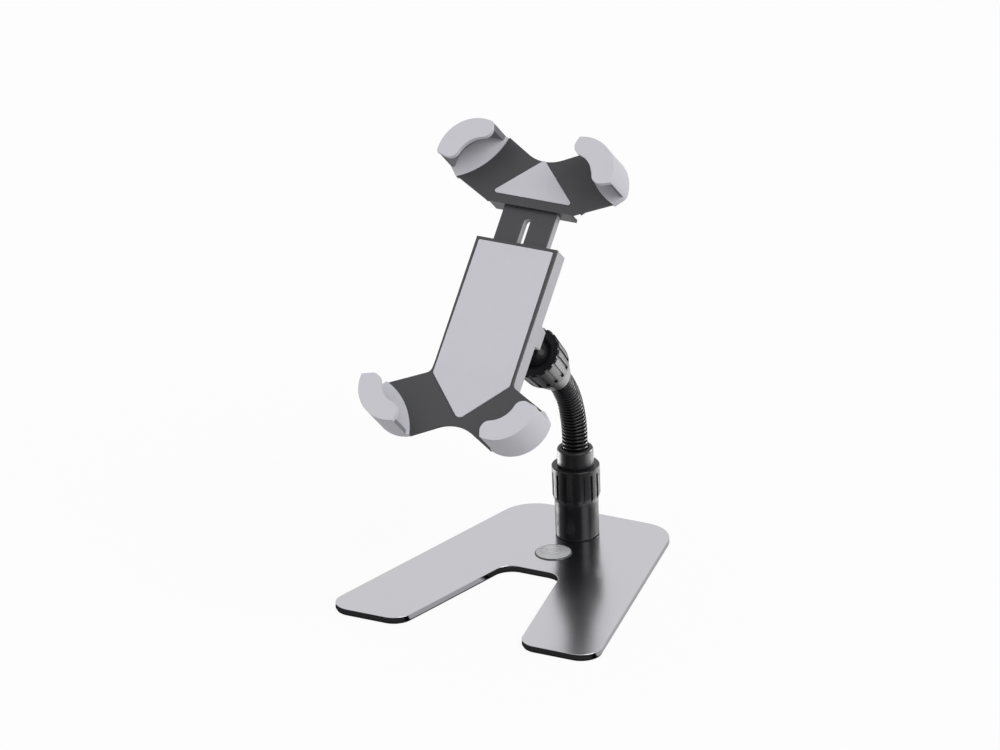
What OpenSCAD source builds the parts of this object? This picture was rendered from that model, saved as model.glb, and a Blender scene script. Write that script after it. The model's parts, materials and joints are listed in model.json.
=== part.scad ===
/* [Base] */
// Width of the base along its front edge
base_front_w = 160; // [140:1:200]
// Width of the base along its back edge
base_back_w = 90; // [80:1:120]
// Depth of the base from front to back
base_depth = 160; // [140:1:200]
// Distance from the post's axis to the back edge
post_to_back = 26; // [22:1:34]
// Width of each prong, measured across the base
prong_w = 45.3; // [40:0.1:52]
// Depth of the notch between the prongs
notch_depth = 84; // [60:1:90]
// Radius of the four front corners
front_corner_r = 11; // [6:0.5:16]
// Radius of the two back corners
back_corner_r = 20; // [8:0.5:24]
// Radius of the two corners inside the notch
notch_corner_r = 10; // [4:0.5:14]
// Thickness of the steel plate
plate_t = 3; // [2.5:0.1:5]
// Thickness of the anti-slip sheet under the plate
sheet_t = 1; // [0.6:0.1:2]
// How far the sheet stands in from the plate's edge
sheet_inset = 0.6; // [0.3:0.1:3]
// Diameter of the domed cap in front of the post
cap_d = 20; // [14:0.5:24]
// Height of the domed cap above the plate
cap_rise = 1.6; // [0.8:0.1:2.4]
// Distance from the post's axis forward to the domed cap
cap_forward = 27.5; // [26:0.5:32]

/* [Post] */
// Diameter of the post
post_d = 23.2; // [22:0.1:26]
// Height of the post below its collar nut
post_h = 20; // [16:0.5:40]
// Thickness of the washer under the post
foot_washer_t = 0.5; // [0.4:0.1:1.5]
// Diameter of the threaded spigot on top of the post
spigot_d = 19; // [18:0.1:20]
// Height of the threaded spigot
spigot_h = 12; // [10:0.5:13]
// Nominal diameter of the screw that holds the post
post_screw_d = 6; // [5:0.5:6]
// Length of the post screw above its head
post_screw_len = 8; // [6:0.5:9]
// Diameter of the collar nut over its ridges
collar_d = 25.4; // [24.5:0.1:28]
// Height of the collar nut
collar_h = 19.4; // [18:0.1:22]
// Height of the plain ring on top of the collar nut
collar_ring_h = 3; // [1:0.1:4]
// Number of ridges round the collar nut
collar_ridges = 16; // [10:1:24]
// Diameter of the swivel tail inside the post
tail_d = 12; // [10:0.1:12.4]
// Length of the swivel tail below the ferrule
tail_len = 26; // [22:0.5:28]

/* [Neck] */
// Diameter of the ferrule that holds the neck
ferrule_d = 19.4; // [18:0.1:21]
// Height of the ferrule
ferrule_h = 10; // [9:0.1:14]
// Diameter of the neck over its ribs
neck_d = 13.6; // [13:0.1:14.4]
// Diameter of the neck's core between the ribs
neck_core_d = 11; // [10.8:0.1:11.4]
// Diameter of the hole along the neck
neck_bore_d = 6; // [4:0.1:6.5]
// Distance from one rib to the next
rib_pitch = 2.2; // [2.1:0.01:2.6]
// Width of one rib
rib_w = 1.25; // [0.9:0.01:1.3]
// Ribs on each moving section of the neck
ribs_per_section = 3; // [3:1:4]
// Length of straight neck above the ferrule, up to its first joint
neck_straight = 8.4; // [8:0.1:20]
// Angle that each section turns from the one below it
section_bend = 6.5; // [0:0.05:7.5]

/* [Ball joint] */
// Distance from the end of the neck's bend to the ball's centre
ball_reach = 31.2; // [30:0.1:38]
// Diameter of the ball
ball_d = 17; // [15:0.5:17]
// Diameter of the ball nut over its ridges at its open end
ball_nut_d = 28.4; // [27:0.1:31]
// Taper of the ball nut towards its socket, on the diameter
ball_nut_taper = 2.4; // [0:0.1:3]
// Length of the ball nut
ball_nut_len = 18.4; // [17:0.1:19]
// Number of ridges round the ball nut
ball_nut_ridges = 18; // [12:1:24]
// Width of a groove between two ridges of the ball nut
ball_groove_w = 1.8; // [1:0.1:2.2]
// Width of a groove between two ridges of the collar nut
collar_groove_w = 1.7; // [1:0.1:2.2]
// Depth of a groove between two ridges of either nut
nut_groove_depth = 0.7; // [0.4:0.1:0.9]
// Diameter of the stud that carries the ball
stud_d = 6.8; // [5:0.1:7.2]
// Lean of the phone face back from upright facing
holder_lean = 45.5; // [20:0.5:70]
// Distance from the phone face back to the ball's centre
ball_back = 62.1; // [58:0.1:70]

/* [Holder] */
// Width of the holder's body
body_w = 47; // [46:0.5:56]
// Length of the holder's body
body_len = 76.6; // [72:0.1:90]
// Thickness of the holder's body
body_t = 11; // [10.6:0.1:14]
// Thickness of the face plate and of the arms' edges
face_t = 1.5; // [1.3:0.1:2]
// Wall of the rear cover
cover_wall = 1.6; // [1.2:0.1:2]
// Thickness of the soft pads above and below the face
pad_t = 1; // [0.6:0.1:1.2]
// How far the soft pads stand above the face
pad_rise = 0.5; // [0.2:0.05:0.5]
// Width of the tongue that carries the upper jaw
tongue_w = 30.4; // [26:0.2:31]
// Thickness of the tongue
tongue_t = 5.7; // [4.5:0.1:6]
// Length of the tongue inside the body as the photograph shows it
tongue_in = 47; // [40:0.5:50]
// Opening between the body and the jaw as the photograph shows it
jaw_open = 20; // [12:0.5:26]
// Width of the slot in the tongue
slot_w = 4.2; // [3.6:0.1:5]
// Depth of the flange along the jaw's lower edge
jaw_flange_t = 11; // [9:0.1:13]
// Height of the jaw's back body along the slide
jaw_body_len = 20; // [16:0.5:22]

/* [Claws] */
// Angle of a claw's axis below the horizontal
claw_angle = 46.8; // [45:0.1:48]
// Radius of a claw's outer wall
claw_r = 20.2; // [19.6:0.1:20.8]
// Height of a claw's lip above the phone face
claw_h = 21; // [16:0.5:30]
// Thickness of a claw's wall
claw_wall = 2.6; // [2:0.1:3.2]
// Thickness of a claw's lip
lip_t = 2.8; // [2:0.1:3.5]
// Thickness of a claw's sole below the arm
sole_t = 1; // [0.8:0.1:2]
// Rise of a claw's floor above the phone face
floor_rise = 0.9; // [0.7:0.1:1.4]

/* [Hidden] */
$fn = 64;

// Clearances, all radial or on one side
run_gap = 0.06;
part_gap = 0.1;
slide_gap = 0.15;

// Rounding circles stand this far past the lines that they round, so that they cross them cleanly
arc_ease = 0.004;

// Heights of the post stack
plate_top = sheet_t + plate_t;
post_z = plate_top + foot_washer_t;
shoulder_z = post_z + post_h;
spigot_top = shoulder_z + spigot_h;
collar_z = shoulder_z + part_gap;
collar_top = collar_z + collar_h;
ferrule_z = collar_top + part_gap;
ferrule_top = ferrule_z + ferrule_h;
screw_head_d = 2 * post_screw_d;
screw_tip = plate_top + post_screw_len;
spigot_bore_d = tail_d + 2.2;
ring_h = 5.4;
ring_flare = 1.4;
ring_z = spigot_top - 3.8;
ring_top = ring_z + ring_h;
tail_z = ferrule_z - tail_len;
tail_pocket_z = tail_z - 1;
washer_inset = 0.6;

// Outline of the base, seen from above
front_y = post_to_back - base_depth;
notch_y = front_y + notch_depth;
side_slope = (base_back_w - base_front_w) / 2 / base_depth;
side_stretch = sqrt(1 + side_slope * side_slope);

// Neck: the joints lie between its sections
section_count = 8;
joint_count = section_count - 1;
section_len = rib_pitch * ribs_per_section;
neck_bend = joint_count * section_bend;
neck_ball_d = 8.8;
neck_cup_gap = 0.2;
core_end = 0.6;
rib_edge = 0.32;
neck_in_ferrule = 8;
neck_in_socket = 8;

// Ball joint, measured along its axis from the end of the neck's bend
socket_start = 1;
nut_front = ball_reach + 4.4;
nut_start = nut_front - ball_nut_len;
nut_rear_r = (ball_nut_d - ball_nut_taper) / 2;
socket_shoulder = nut_start - part_gap;
socket_thread_r = nut_rear_r - 2.6;
seat_r = ball_d / 2 + run_gap;
lip_mouth_r = ball_d / 2 - 0.5;
nut_seat = ball_reach - 1.4;
cup_r = socket_thread_r - 1.4;
cup_z = ball_reach - 10.7;
nut_mouth_r = 9.8;
nut_mouth_depth = 1.3;
nut_edge = 0.6;

// Holder: x across, y up the slide, z out of the phone face, origin at the body's top edge
arm_root_out = 0.3;
arm_root_down = 0.6;
arm_top_x = 48.9;
arm_top_down = 12.628;
arm_low_x = 27.3;
arm_low_down = 38.916;
arm_notch_down = 24.5;
arm_notch_r = 21;
arm_root_r = 4;
arm_overlap = 6;
triangle_half_w = 23.8;
triangle_low = 5;
triangle_high = 27;
triangle_corner_r = 1.2;
stem_down = 38.3;
stem_lift = 1;
stem_end_w = 24;
stem_end_h = 10;
stem_root_w = 27;
stem_root_h = 17;
stem_len = 29;
stem_end = -body_t - stem_len;
stud_in = 12;
back_z = -body_t;
inner_back_z = back_z + cover_wall + 0.2;
tongue_front = -face_t - 1;
tongue_back_z = tongue_front - tongue_t;
tongue_skin = 1.2;
rail_t = 1;
guide_r = slot_w / 2 - slide_gap;
guide_down = 8.5;
slot_top = jaw_open - 4.7;
slot_bottom = 9 - tongue_in;
boss_r = 2.3;
pilot_r = 1.1;
screw_r = 1;
screw_head_r = 1.9;
screw_head_t = 1.1;
boss_x = body_w / 2 - cover_wall - boss_r - 0.3;
boss_up = 6;
mirror_v = (jaw_open - body_len - 1) / 2;

// Claw outlines, on the claw's own axis: origin at the centre of its outer wall, x outwards
claw_x = 30.6;
claw_y = -body_len - 17.4;
seam_r = 37;
seam_x = 40;
seam_y = 2.3;
claw_side = claw_r - 4.4;
claw_corner_r = 4;
wall_up = 52.5;
wall_down = 58;
lobe_r = 5;
lobe_x = claw_r - 10.2;
lobe_y = 10;
lobe_shift = -1.2;
scoop_r = 14.4;
scoop_x = sqrt(pow(scoop_r + lobe_r, 2) - lobe_y * lobe_y) - lobe_x;
tab_r = claw_r - 4.7;
tab_w = 22;
tab_shift = -1.5;
tab_x = -1;
peg_r = 1.9;
peg_x = 10;

// Rounded outlines

function unit(v) = v / norm(v);
function before(points, i) = points[(i + len(points) - 1) % len(points)];
function after(points, i) = points[(i + 1) % len(points)];
function to_before(points, i) = unit(before(points, i) - points[i]);
function to_after(points, i) = unit(after(points, i) - points[i]);
function half_angle(points, i) = acos(to_before(points, i) * to_after(points, i)) / 2;
function leg(points, i, r) = r / tan(half_angle(points, i));
function is_outer(points, i) = cross(points[i] - before(points, i), after(points, i) - points[i]) > 0;
function round_centre(points, i, r) =
    points[i] + unit(to_before(points, i) + to_after(points, i)) * r / sin(half_angle(points, i));

// Counter-clockwise outline whose corners have true arcs of the given radii
module rounded_outline(points, radii) {
    difference() {
        union() {
            polygon([
                for (i = [0:len(points) - 1])
                    each radii[i] == 0 ? [points[i]] : [
                        points[i] + to_before(points, i) * leg(points, i, radii[i]),
                        points[i] + to_after(points, i) * leg(points, i, radii[i])
                    ]
            ]);
            for (i = [0:len(points) - 1])
                if (radii[i] > 0 && is_outer(points, i))
                    translate(round_centre(points, i, radii[i]))
                        circle(radii[i] + arc_ease);
        }
        for (i = [0:len(points) - 1])
            if (radii[i] > 0 && !is_outer(points, i))
                translate(round_centre(points, i, radii[i]))
                    circle(radii[i] + arc_ease);
    }
}

module ring(outer_r, inner_r, h) {
    difference() {
        cylinder(r = outer_r, h = h);
        translate([0, 0, -1])
            cylinder(r = inner_r, h = h + 2);
    }
}

// Box centred in x and y, standing on z = 0
module block(w, d, h) {
    translate([-w / 2, -d / 2, 0])
        cube([w, d, h]);
}

// Places along the stand

function outer_x(y) = base_front_w / 2 + (y - front_y) * side_slope;
function inner_x(y) = outer_x(y) - prong_w;
function neck_step(k) = [0, -sin(k * section_bend), cos(k * section_bend)] * section_len;
function neck_joint(k) = k == 0 ? [0, 0, ferrule_top + neck_straight] : neck_joint(k - 1) + neck_step(k);
function bend_end() =
    neck_joint(joint_count - 1) + neck_step(joint_count) / 2;

module at_neck_joint(k) {
    translate(neck_joint(k))
        rotate([(k + 1) * section_bend, 0, 0])
            children();
}

module at_bend_end() {
    translate(bend_end())
        rotate([neck_bend, 0, 0])
            children();
}

module at_ball() {
    at_bend_end()
        translate([0, 0, ball_reach])
            rotate([holder_lean - neck_bend, 0, 0])
                children();
}

module at_holder() {
    at_ball()
        translate([0, stem_down, ball_back])
            children();
}

// Turns a claw or arm, drawn on its own axis, into place: side is 1 on the right, -1 on the left
module at_lower_claw(side) {
    mirror([side < 0 ? 1 : 0, 0, 0])
        translate([claw_x, claw_y, 0])
            rotate(-claw_angle)
                children();
}

// The upper jaw is the lower end turned upside down
module upside_down() {
    translate([0, 2 * mirror_v, 0])
        mirror([0, 1, 0])
            children();
}

// Base

module base_outline(inset) {
    side = inset * side_stretch;
    f = front_y + inset;
    b = post_to_back - inset;
    n = notch_y + inset;
    rounded_outline(
        [
            [outer_x(f) - side, f], [outer_x(b) - side, b],
            [side - outer_x(b), b], [side - outer_x(f), f],
            [-inner_x(f) - side, f], [-inner_x(n) - side, n],
            [inner_x(n) + side, n], [inner_x(f) + side, f]
        ],
        [
            front_corner_r - inset, back_corner_r - inset, back_corner_r - inset,
            front_corner_r - inset, front_corner_r - inset, notch_corner_r + inset,
            notch_corner_r + inset, front_corner_r - inset
        ]
    );
}

module anti_slip_sheet() {
    color("#222224")
        linear_extrude(sheet_t)
            base_outline(sheet_inset);
}

module base_plate() {
    color("#c5c5ca")
        difference() {
            translate([0, 0, sheet_t])
                linear_extrude(plate_t)
                    base_outline(0);
            translate([0, 0, sheet_t])
                cylinder(d1 = screw_head_d + 2 * part_gap, d2 = post_screw_d + 2 * part_gap, h = plate_t);
        }
}

module domed_cap() {
    dome_r = (cap_d * cap_d / 4 + cap_rise * cap_rise) / 2 / cap_rise;
    color("#dcdce2")
        intersection() {
            translate([0, -cap_forward, plate_top + cap_rise - dome_r])
                sphere(r = dome_r, $fn = 128);
            translate([0, -cap_forward, plate_top])
                cylinder(d = cap_d, h = cap_rise + 1);
        }
}

// Post, its swivel clamp and collar nut

module foot_washer() {
    color("#0c0c0d")
        translate([0, 0, plate_top])
            ring(post_d / 2 - washer_inset, post_screw_d / 2 + part_gap, foot_washer_t);
}

module post() {
    color("#141415")
        difference() {
            union() {
                translate([0, 0, post_z])
                    cylinder(d = post_d, h = post_h);
                translate([0, 0, shoulder_z])
                    cylinder(d = spigot_d, h = spigot_h);
            }
            translate([0, 0, post_z - 1])
                cylinder(d = post_screw_d + 2 * part_gap, h = screw_tip - post_z + 1.5);
            translate([0, 0, tail_pocket_z])
                cylinder(d = spigot_bore_d, h = spigot_top - tail_pocket_z + 1);
            translate([0, 0, ring_z])
                cylinder(d1 = spigot_bore_d, d2 = spigot_bore_d + 2 * ring_flare, h = spigot_top - ring_z);
        }
}

module post_screw() {
    color("#8a8a8e")
        difference() {
            union() {
                translate([0, 0, sheet_t])
                    cylinder(d1 = screw_head_d, d2 = post_screw_d, h = plate_t);
                translate([0, 0, sheet_t + plate_t / 2])
                    cylinder(d = post_screw_d, h = screw_tip - sheet_t - plate_t / 2);
            }
            translate([0, 0, sheet_t - 1])
                cylinder(d = post_screw_d * 0.75, h = 3, $fn = 6);
        }
}

module compression_ring() {
    split_w = 1.2;
    seat_h = spigot_top - ring_z;
    color("#d8d8d2")
        difference() {
            union() {
                translate([0, 0, ring_z])
                    cylinder(
                        d1 = spigot_bore_d - 2 * part_gap,
                        d2 = spigot_bore_d + 2 * ring_flare - 2 * part_gap,
                        h = seat_h
                    );
                translate([0, 0, spigot_top])
                    cylinder(d = spigot_bore_d + 2 * ring_flare - 2 * part_gap, h = ring_h - seat_h);
            }
            translate([0, 0, ring_z - 1])
                cylinder(d = tail_d + 2 * run_gap, h = ring_h + 2);
            translate([0, -split_w / 2, ring_z - 1])
                cube([post_d, split_w, ring_h + 2]);
        }
}

// Grooves between the ridges of a nut whose axis is z
module nut_grooves(nut_r, count, z, h) {
    for (i = [0:count - 1])
        rotate(i * 360 / count)
            translate([nut_r - nut_groove_depth, -collar_groove_w / 2, z])
                cube([2 * nut_groove_depth, collar_groove_w, h]);
}

module collar_nut() {
    foot_draw = 1;
    foot_h = 3;
    color("#161617")
        difference() {
            translate([0, 0, collar_z])
                rotate_extrude()
                    polygon([
                        [0, 0],
                        [collar_d / 2 - foot_draw, 0],
                        [collar_d / 2, foot_h],
                        [collar_d / 2, collar_h - 0.4],
                        [collar_d / 2 - 0.4, collar_h],
                        [0, collar_h]
                    ]);
            translate([0, 0, collar_z - 1])
                cylinder(d = spigot_d + 2 * run_gap, h = ring_top + part_gap - collar_z + 1);
            translate([0, 0, collar_z])
                cylinder(d = tail_d + 2 * run_gap, h = collar_h + 1);
            nut_grooves(
                collar_d / 2, collar_ridges,
                collar_z + foot_h / 2, collar_h - foot_h / 2 - collar_ring_h
            );
        }
}

// Neck

module neck_ferrule() {
    top_round = 1.6;
    mouth_r = neck_d / 2 + 0.7;
    color("#1d1d20")
        difference() {
            translate([0, 0, tail_z])
                rotate_extrude()
                    polygon([
                        [0, 0],
                        [tail_d / 2 - 0.5, 0],
                        [tail_d / 2, 0.5],
                        [tail_d / 2, tail_len],
                        [ferrule_d / 2, tail_len],
                        [ferrule_d / 2, tail_len + ferrule_h - top_round],
                        [ferrule_d / 2 - top_round * 0.3, tail_len + ferrule_h - top_round * 0.3],
                        [ferrule_d / 2 - top_round, tail_len + ferrule_h],
                        [0, tail_len + ferrule_h]
                    ]);
            translate([0, 0, ferrule_top - neck_in_ferrule - part_gap])
                cylinder(r = neck_d / 2 + part_gap, h = neck_in_ferrule + 2);
            translate([0, 0, ferrule_top - 1.2])
                cylinder(r1 = neck_d / 2 + part_gap, r2 = mouth_r, h = 1.2 + 0.01);
        }
}

module neck_rib() {
    rotate_extrude()
        polygon([
            [0, -rib_w / 2],
            [neck_d / 2 - rib_edge, -rib_w / 2],
            [neck_d / 2, rib_edge - rib_w / 2],
            [neck_d / 2, rib_w / 2 - rib_edge],
            [neck_d / 2 - rib_edge, rib_w / 2],
            [0, rib_w / 2]
        ]);
}

// The round end that each section carries into the next one
module neck_ball_end() {
    intersection() {
        sphere(d = neck_ball_d);
        translate([0, 0, -core_end - 0.2])
            cylinder(d = neck_ball_d, h = neck_ball_d);
    }
}

module neck_colour() {
    color("#19191b")
        children();
}

// Fixed in the ferrule, and straight up to the first joint
module neck_section_first() {
    rib_count = floor((neck_straight + neck_in_ferrule - rib_pitch / 2) / rib_pitch) + 1;
    top_lean = section_bend / 2 * (1 - rib_pitch / section_len);
    neck_colour()
        translate(neck_joint(0))
            difference() {
                union() {
                    translate([0, 0, -neck_straight - neck_in_ferrule])
                        cylinder(d = neck_core_d, h = neck_straight + neck_in_ferrule - core_end);
                    for (i = [0:rib_count - 1])
                        translate([0, 0, -rib_pitch * (i + 0.5)])
                            rotate([i == 0 ? top_lean : 0, 0, 0])
                                neck_rib();
                    neck_ball_end();
                }
                translate([0, 0, -neck_straight - neck_in_ferrule - 1])
                    cylinder(d = neck_bore_d, h = neck_straight + neck_in_ferrule + neck_ball_d);
            }
}

// Between two joints, its ribs fanned like the coils of a bent hose
module neck_section_middle(k) {
    neck_colour()
        at_neck_joint(k - 1)
            difference() {
                union() {
                    translate([0, 0, core_end])
                        cylinder(d = neck_core_d, h = section_len - 2 * core_end);
                    for (i = [0:ribs_per_section - 1])
                        translate([0, 0, rib_pitch * (i + 0.5)])
                            rotate([section_bend * ((i + 0.5) / ribs_per_section - 0.5), 0, 0])
                                neck_rib();
                    translate([0, 0, section_len])
                        neck_ball_end();
                }
                sphere(d = neck_ball_d + 2 * neck_cup_gap);
                cylinder(d = neck_bore_d, h = section_len + neck_ball_d);
            }
}

// Above the last joint, held in the ball socket
module neck_section_last() {
    len_up = section_len / 2 + socket_start + neck_in_socket;
    rib_count = floor((len_up - rib_pitch / 2) / rib_pitch);
    foot_lean = section_bend * (0.5 / ribs_per_section - 0.5);
    neck_colour()
        at_neck_joint(joint_count - 1)
            difference() {
                union() {
                    translate([0, 0, core_end])
                        cylinder(d = neck_core_d, h = len_up - core_end);
                    for (i = [0:rib_count - 1])
                        translate([0, 0, rib_pitch * (i + 0.5)])
                            rotate([i == 0 ? foot_lean : 0, 0, 0])
                                neck_rib();
                }
                sphere(d = neck_ball_d + 2 * neck_cup_gap);
                cylinder(d = neck_bore_d, h = len_up + 1);
            }
}

// Ball joint

module ball_socket() {
    neck_hole = socket_start + neck_in_socket + part_gap;
    tail_r = nut_rear_r - 0.9;
    color("#1a1a1c")
        at_bend_end()
            difference() {
                rotate_extrude()
                    polygon([
                        [0, socket_start],
                        [neck_d / 2 + 0.6, socket_start],
                        [neck_d / 2 + 1.2, socket_start + 0.8],
                        [neck_d / 2 + 2.4, socket_start + 4.5],
                        [tail_r - 0.9, socket_start + 11.5],
                        [tail_r, socket_shoulder - 2],
                        [tail_r, socket_shoulder - 0.3],
                        [tail_r - 0.3, socket_shoulder],
                        [socket_thread_r, socket_shoulder],
                        [socket_thread_r, nut_seat - part_gap],
                        [0, nut_seat - part_gap]
                    ]);
                cylinder(r = neck_d / 2 + part_gap, h = neck_hole);
                translate([0, 0, cup_z])
                    cylinder(r = cup_r, h = ball_reach);
            }
}

module friction_cup() {
    color("#e4e2da")
        at_bend_end()
            difference() {
                translate([0, 0, cup_z + part_gap])
                    cylinder(r = cup_r - part_gap, h = nut_seat - cup_z - 3 * part_gap);
                translate([0, 0, ball_reach])
                    sphere(r = seat_r);
                cylinder(r = stud_d / 2, h = ball_reach);
            }
}

module ball_nut() {
    nut_r = ball_nut_d / 2;
    lean = atan((nut_r - nut_rear_r) / ball_nut_len);
    color("#161617")
        at_bend_end()
            difference() {
                rotate_extrude()
                    polygon([
                        [socket_thread_r + run_gap, nut_start],
                        [nut_rear_r - 0.4, nut_start],
                        [nut_rear_r, nut_start + 0.4],
                        [nut_r, nut_front - nut_edge],
                        [nut_r - nut_edge, nut_front],
                        [nut_mouth_r, nut_front],
                        [lip_mouth_r, nut_front - nut_mouth_depth],
                        [lip_mouth_r, nut_seat],
                        [socket_thread_r + run_gap, nut_seat]
                    ]);
                translate([0, 0, ball_reach])
                    sphere(r = seat_r);
                for (i = [0:ball_nut_ridges - 1])
                    rotate(i * 360 / ball_nut_ridges)
                        translate([nut_rear_r, 0, nut_start + 1.4])
                            rotate([0, lean, 0])
                                translate([-nut_groove_depth, -ball_groove_w / 2, 0])
                                    cube([2 * nut_groove_depth, ball_groove_w, ball_nut_len]);
            }
}

module ball_stud() {
    stud_len = ball_back + stem_end + stud_in;
    color("#101011")
        at_ball() {
            sphere(d = ball_d);
            cylinder(d = stud_d, h = stud_len);
        }
}

// Holder: stem and body

// Taper from a root rectangle to an end rectangle, going down from z = 0
module tapered_bar(root_w, root_h, end_w, end_h, length) {
    intersection() {
        translate([0, root_h, 0])
            rotate([90, 0, 0])
                linear_extrude(2 * root_h)
                    polygon([
                        [-root_w / 2, 0], [-end_w / 2, -length],
                        [end_w / 2, -length], [root_w / 2, 0]
                    ]);
        translate([-root_w, 0, 0])
            rotate([90, 0, 90])
                linear_extrude(2 * root_w)
                    polygon([
                        [-root_h / 2, 0], [-end_h / 2, -length],
                        [end_h / 2, -length], [root_h / 2, 0]
                    ]);
    }
}

stem_screw_x = stem_root_w / 2 - 4;

module stem() {
    color("#c9c9ce")
        at_holder()
            difference() {
                translate([0, stem_lift - stem_down, back_z])
                    tapered_bar(stem_root_w, stem_root_h, stem_end_w, stem_end_h, stem_len);
                translate([0, -stem_down, stem_end - 1])
                    cylinder(d = stud_d + 2 * run_gap, h = stud_in + 1.5);
                for (side = [-1, 1])
                    translate([side * stem_screw_x, -stem_down, back_z - 6])
                        cylinder(r = pilot_r, h = 7);
            }
}

// Two screws from inside the cover into the stem
module stem_screws() {
    color("#9a9a9e")
        at_holder()
            for (side = [-1, 1])
                translate([side * stem_screw_x, -stem_down, 0]) {
                    translate([0, 0, back_z - 5])
                        cylinder(r = screw_r, h = 5 + body_t + inner_back_z);
                    translate([0, 0, inner_back_z])
                        cylinder(r = screw_head_r, h = 0.9);
                }
}

module at_bosses() {
    for (x = [-boss_x, boss_x], y = [-boss_up, boss_up - body_len])
        translate([x, y, 0])
            children();
}

module rear_cover() {
    inner_w = body_w - 2 * cover_wall;
    color("#c9c9ce")
        at_holder()
            difference() {
                union() {
                    difference() {
                        translate([-body_w / 2, -body_len, back_z])
                            cube([body_w, body_len, body_t - face_t]);
                        translate([-inner_w / 2, cover_wall - body_len, inner_back_z])
                            cube([inner_w, body_len - 2 * cover_wall, body_t]);
                        translate([-tongue_w / 2 - slide_gap, -body_len / 2, tongue_back_z - slide_gap])
                            cube([tongue_w + 2 * slide_gap, body_len, body_t]);
                    }
                    for (side = [-1, 1])
                        translate([
                            side * (tongue_w / 2 + slide_gap + rail_t / 2) - rail_t / 2,
                            cover_wall - body_len, inner_back_z - 0.1
                        ])
                            cube([rail_t, body_len - 2 * cover_wall, tongue_front - inner_back_z]);
                }
                at_bosses() {
                    translate([0, 0, back_z - 1])
                        cylinder(r = pilot_r, h = body_t);
                    translate([0, 0, back_z - 1])
                        cylinder(r = screw_head_r + part_gap, h = 1 + screw_head_t);
                }
                translate([0, -guide_down, back_z - 1])
                    cylinder(r = pilot_r, h = body_t);
                translate([0, -guide_down, back_z - 1])
                    cylinder(r = screw_head_r + part_gap, h = 1 + screw_head_t);
                for (side = [-1, 1])
                    translate([side * stem_screw_x, -stem_down, back_z - 1])
                        cylinder(r = pilot_r, h = body_t);
            }
}

// A small screw whose head lies at z = 0 and whose shank goes up
module small_screw(length) {
    difference() {
        union() {
            cylinder(r = screw_head_r, h = screw_head_t - part_gap);
            cylinder(r = screw_r, h = length);
        }
        for (turn = [0, 90])
            rotate(turn)
                translate([0, 0, -0.01])
                    block(2.2, 0.5, 0.6);
    }
}

module cover_screws() {
    color("#3a3a3d")
        at_holder()
            at_bosses()
                translate([0, 0, back_z])
                    small_screw(body_t - face_t - 1);
}

module guide_screw() {
    color("#3a3a3d")
        at_holder()
            translate([0, -guide_down, back_z])
                small_screw(body_t - face_t - 1);
}

// Friction washer that the tongue slides against, round the guide boss
module spring_washer() {
    color("#b8b8bc")
        at_holder()
            translate([0, -guide_down, inner_back_z + 0.05])
                ring(guide_r + 2.6, guide_r + part_gap, tongue_back_z - inner_back_z - 0.05 - part_gap);
}

// Holder: face plate, arms and claws

// Outline of both lower arms down to the claws' seams, with the body's lower end
module arms_outline() {
    arm_top_in = [body_w / 2 + arm_root_out, -body_len - arm_root_down];
    arm_top_out = [arm_top_x, -body_len - arm_top_down];
    arm_low_out = [arm_low_x, -body_len - arm_low_down];
    notch_mid = [0, -body_len - arm_notch_down];
    side_top = [body_w / 2, arm_overlap - body_len];
    rounded_outline(
        [
            [-side_top.x, side_top.y], [-arm_top_in.x, arm_top_in.y],
            [-arm_top_out.x, arm_top_out.y], [-arm_low_out.x, arm_low_out.y],
            notch_mid,
            arm_low_out, arm_top_out, arm_top_in, side_top
        ],
        [0, arm_root_r, 0, 0, arm_notch_r, 0, 0, arm_root_r, 0]
    );
}

module seam_circle() {
    translate([seam_x, seam_y])
        circle(seam_r, $fn = 128);
}

module tab_outline(grow) {
    intersection() {
        circle(tab_r + grow);
        translate([tab_x, tab_shift - tab_w / 2 - grow])
            square([tab_r, tab_w + 2 * grow]);
    }
}

// Arms cut back to the claws' seams, with a tab that goes into each claw
module arms_plan() {
    difference() {
        arms_outline();
        for (side = [-1, 1])
            at_lower_claw(side)
                seam_circle();
    }
    for (side = [-1, 1])
        at_lower_claw(side)
            difference() {
                tab_outline(0);
                translate([peg_x, 0])
                    circle(peg_r + part_gap);
            }
}

// Stiffening ribs behind the arms
module arm_ribs() {
    rib_t = 1.6;
    rib_h = 3;
    for (side = [-1, 1], shift = [-7, 0, 7])
        at_lower_claw(side)
            translate([-12, shift - rib_t / 2, -face_t - rib_h])
                cube([13, rib_t, rib_h + 0.01]);
}

module pad_outline(grow) {
    w = body_w / 2 - 1.9 + grow;
    rounded_outline(
        [
            [w, grow - 1.8], [-w, grow - 1.8],
            [-w - 0.7, -body_len - 1.2],
            [0, -body_len - 23.7 - grow * 1.4],
            [w + 0.7, -body_len - 1.2]
        ],
        [0.6, 0.6, 2, 3.2, 2]
    );
}

module face_plate() {
    color("#48484b")
        at_holder()
            difference() {
                union() {
                    translate([0, 0, -face_t])
                        linear_extrude(face_t) {
                            translate([-body_w / 2, -body_len])
                                square([body_w, body_len]);
                            arms_plan();
                        }
                    arm_ribs();
                    at_bosses()
                        translate([0, 0, inner_back_z + 0.1])
                            cylinder(r = boss_r, h = -face_t - inner_back_z);
                    translate([0, -guide_down, inner_back_z + 0.1])
                        cylinder(r = guide_r, h = -face_t - inner_back_z);
                }
                translate([0, 0, pad_rise - pad_t - 0.02])
                    linear_extrude(pad_t)
                        pad_outline(0.08);
                at_bosses()
                    translate([0, 0, back_z])
                        cylinder(r = pilot_r, h = body_t - face_t - 0.5);
                translate([0, -guide_down, back_z])
                    cylinder(r = pilot_r, h = body_t - face_t - 0.5);
            }
}

module front_pad() {
    color("#c4c3c9")
        at_holder()
            translate([0, 0, pad_rise - pad_t])
                linear_extrude(pad_t)
                    pad_outline(0);
}

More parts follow.
